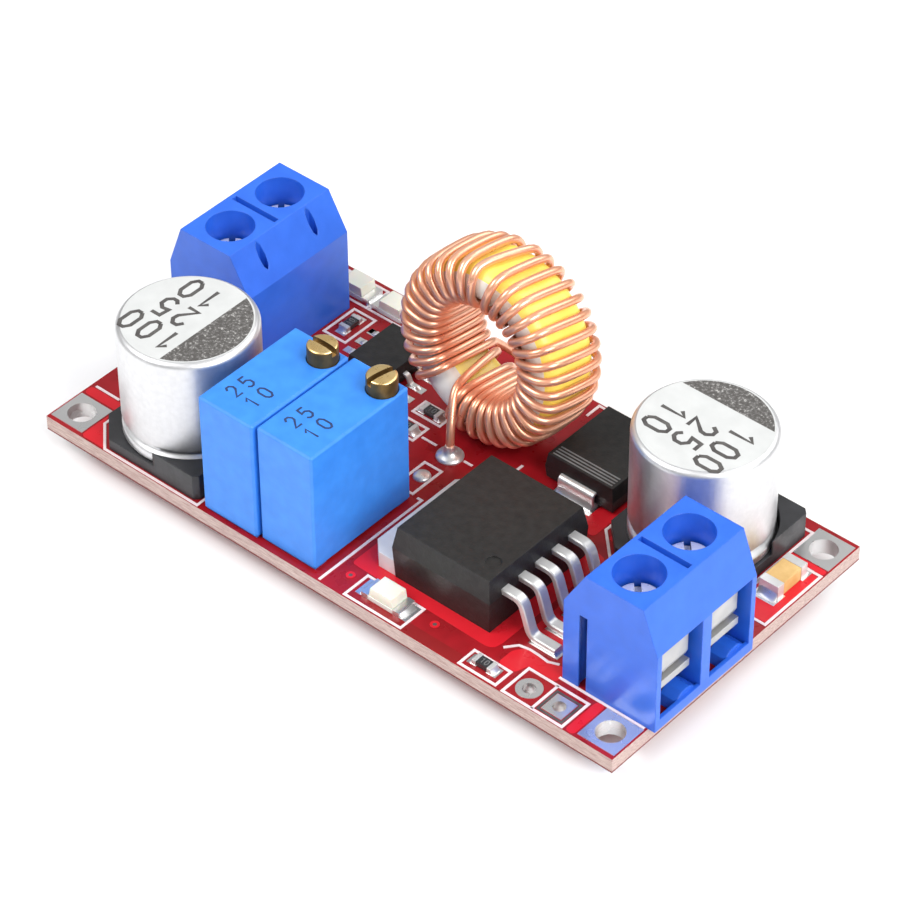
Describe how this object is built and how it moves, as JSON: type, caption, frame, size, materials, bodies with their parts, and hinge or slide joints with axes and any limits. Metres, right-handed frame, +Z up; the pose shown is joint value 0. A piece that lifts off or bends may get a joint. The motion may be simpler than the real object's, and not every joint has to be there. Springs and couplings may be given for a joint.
{
  "type": "buck converter module",
  "caption": "Step-down power module: a small board with screw terminals, toroidal inductor, can capacitors and two multi-turn trimmers.",
  "frame": {"origin": "centre of the four corner holes, on the underside of the board", "axes": "+X along the board towards the output terminal, +Y across the board towards the inductor, +Z up from the board to its parts"},
  "size_m": [0.0517, 0.0264, 0.0179],
  "materials": {
    "board_red": "glossy solder mask",
    "terminal_blue": "satin moulded",
    "tinned_steel": "bright plated",
    "trimmer_blue": "satin moulded",
    "brass_screw": "turned",
    "wheel_white": "moulded",
    "ceramic_white": "fired",
    "seal_resin": "cast",
    "pin_tin": "tinned",
    "can_aluminium": "satin",
    "base_black": "moulded",
    "core_yellow": "gloss coating",
    "wire_copper": "enamelled",
    "epoxy_black": "moulded",
    "led_white": "moulded",
    "led_lens": "clear resin",
    "chip_tan": "fired",
    "chip_black": "glazed",
    "solder": "reflowed"
  },
  "bodies": {
    "module": {"circuit_board": "board_red", "input_terminal_housing": "terminal_blue", "input_contact_a": "tinned_steel", "input_contact_b": "tinned_steel", "input_capacitor_can": "can_aluminium", "input_capacitor_base": "base_black", "input_capacitor_leads": "pin_tin", "output_terminal_housing": "terminal_blue", "output_contact_a": "tinned_steel", "output_contact_b": "tinned_steel", "output_capacitor_can": "can_aluminium", "output_capacitor_base": "base_black", "output_capacitor_leads": "pin_tin", "current_trimmer_housing": "trimmer_blue", "current_trimmer_element": "ceramic_white", "current_trimmer_seal": "seal_resin", "current_trimmer_pins": "pin_tin", "voltage_trimmer_housing": "trimmer_blue", "voltage_trimmer_element": "ceramic_white", "voltage_trimmer_seal": "seal_resin", "voltage_trimmer_pins": "pin_tin", "inductor_core": "core_yellow", "inductor_winding": "wire_copper", "inductor_solder": "solder", "regulator_body": "epoxy_black", "regulator_tab": "pin_tin", "regulator_leads": "pin_tin", "diode_body": "epoxy_black", "diode_terminals": "pin_tin", "amplifier_body": "epoxy_black", "amplifier_leads": "pin_tin", "led_bases": "led_white", "led_lens_front": "led_lens", "led_lens_rear_1": "led_lens", "led_lens_rear_2": "led_lens", "chip_capacitor_body": "chip_tan", "chip_capacitor_ends": "pin_tin", "chip_resistor_bodies": "chip_black", "chip_resistor_ends": "pin_tin", "terminal_solder": "solder", "trimmer_solder": "solder"},
    "input_wire_guard_a": {"input_wire_guard_a": "tinned_steel"},
    "input_clamp_screw_a": {"input_clamp_screw_a": "tinned_steel"},
    "input_wire_guard_b": {"input_wire_guard_b": "tinned_steel"},
    "input_clamp_screw_b": {"input_clamp_screw_b": "tinned_steel"},
    "output_wire_guard_a": {"output_wire_guard_a": "tinned_steel"},
    "output_clamp_screw_a": {"output_clamp_screw_a": "tinned_steel"},
    "output_wire_guard_b": {"output_wire_guard_b": "tinned_steel"},
    "output_clamp_screw_b": {"output_clamp_screw_b": "tinned_steel"},
    "current_trimmer_screw": {"current_trimmer_screw": "brass_screw"},
    "current_trimmer_wheel": {"current_trimmer_wheel": "wheel_white"},
    "voltage_trimmer_screw": {"voltage_trimmer_screw": "brass_screw"},
    "voltage_trimmer_wheel": {"voltage_trimmer_wheel": "wheel_white"}
  },
  "joints": [
    {"name": "input_wire_guard_a_slide", "type": "slide", "parent": "module", "child": "input_wire_guard_a", "axis": [0, 0, 1], "range_m": [-0.0002, 0.0013]},
    {"name": "input_clamp_screw_a_turn", "type": "hinge", "parent": "input_wire_guard_a", "child": "input_clamp_screw_a", "pos_m": [-0.02155, 0.00699, 0.006], "axis": [0, 0, 1], "range_deg": [-160, 1040]},
    {"name": "input_wire_guard_b_slide", "type": "slide", "parent": "module", "child": "input_wire_guard_b", "axis": [0, 0, 1], "range_m": [-0.0002, 0.0013]},
    {"name": "input_clamp_screw_b_turn", "type": "hinge", "parent": "input_wire_guard_b", "child": "input_clamp_screw_b", "pos_m": [-0.02155, 0.00191, 0.006], "axis": [0, 0, 1], "range_deg": [-160, 1040]},
    {"name": "output_wire_guard_a_slide", "type": "slide", "parent": "module", "child": "output_wire_guard_a", "axis": [0, 0, 1], "range_m": [-0.0002, 0.0013]},
    {"name": "output_clamp_screw_a_turn", "type": "hinge", "parent": "output_wire_guard_a", "child": "output_clamp_screw_a", "pos_m": [0.0225, -0.00699, 0.006], "axis": [0, 0, 1], "range_deg": [-160, 1040]},
    {"name": "output_wire_guard_b_slide", "type": "slide", "parent": "module", "child": "output_wire_guard_b", "axis": [0, 0, 1], "range_m": [-0.0002, 0.0013]},
    {"name": "output_clamp_screw_b_turn", "type": "hinge", "parent": "output_wire_guard_b", "child": "output_clamp_screw_b", "pos_m": [0.0225, -0.00191, 0.006], "axis": [0, 0, 1], "range_deg": [-160, 1040]},
    {"name": "current_trimmer_screw_turn", "type": "hinge", "parent": "module", "child": "current_trimmer_screw", "pos_m": [-0.0069, -0.00447, 0.0062], "axis": [0, 0, 1], "range_deg": [-4500, 4500]},
    {"name": "current_trimmer_wheel_turn", "type": "hinge", "parent": "module", "child": "current_trimmer_wheel", "pos_m": [-0.0069, -0.008, 0.0063], "axis": [1, 0, 0], "range_deg": [-140.62, 140.62]},
    {"name": "voltage_trimmer_screw_turn", "type": "hinge", "parent": "module", "child": "voltage_trimmer_screw", "pos_m": [-0.00178, -0.00422, 0.0062], "axis": [0, 0, 1], "range_deg": [-4500, 4500]},
    {"name": "voltage_trimmer_wheel_turn", "type": "hinge", "parent": "module", "child": "voltage_trimmer_wheel", "pos_m": [-0.00178, -0.00775, 0.0063], "axis": [1, 0, 0], "range_deg": [-140.62, 140.62]}
  ],
  "couplings": [
    {"joint": "input_clamp_screw_a_turn", "follows": "input_wire_guard_a_slide", "rad_per_m": 13963},
    {"joint": "input_clamp_screw_b_turn", "follows": "input_wire_guard_b_slide", "rad_per_m": 13963},
    {"joint": "output_clamp_screw_a_turn", "follows": "output_wire_guard_a_slide", "rad_per_m": 13963},
    {"joint": "output_clamp_screw_b_turn", "follows": "output_wire_guard_b_slide", "rad_per_m": 13963},
    {"joint": "current_trimmer_wheel_turn", "follows": "current_trimmer_screw_turn", "ratio": 0.03125},
    {"joint": "voltage_trimmer_wheel_turn", "follows": "voltage_trimmer_screw_turn", "ratio": 0.03125}
  ]
}
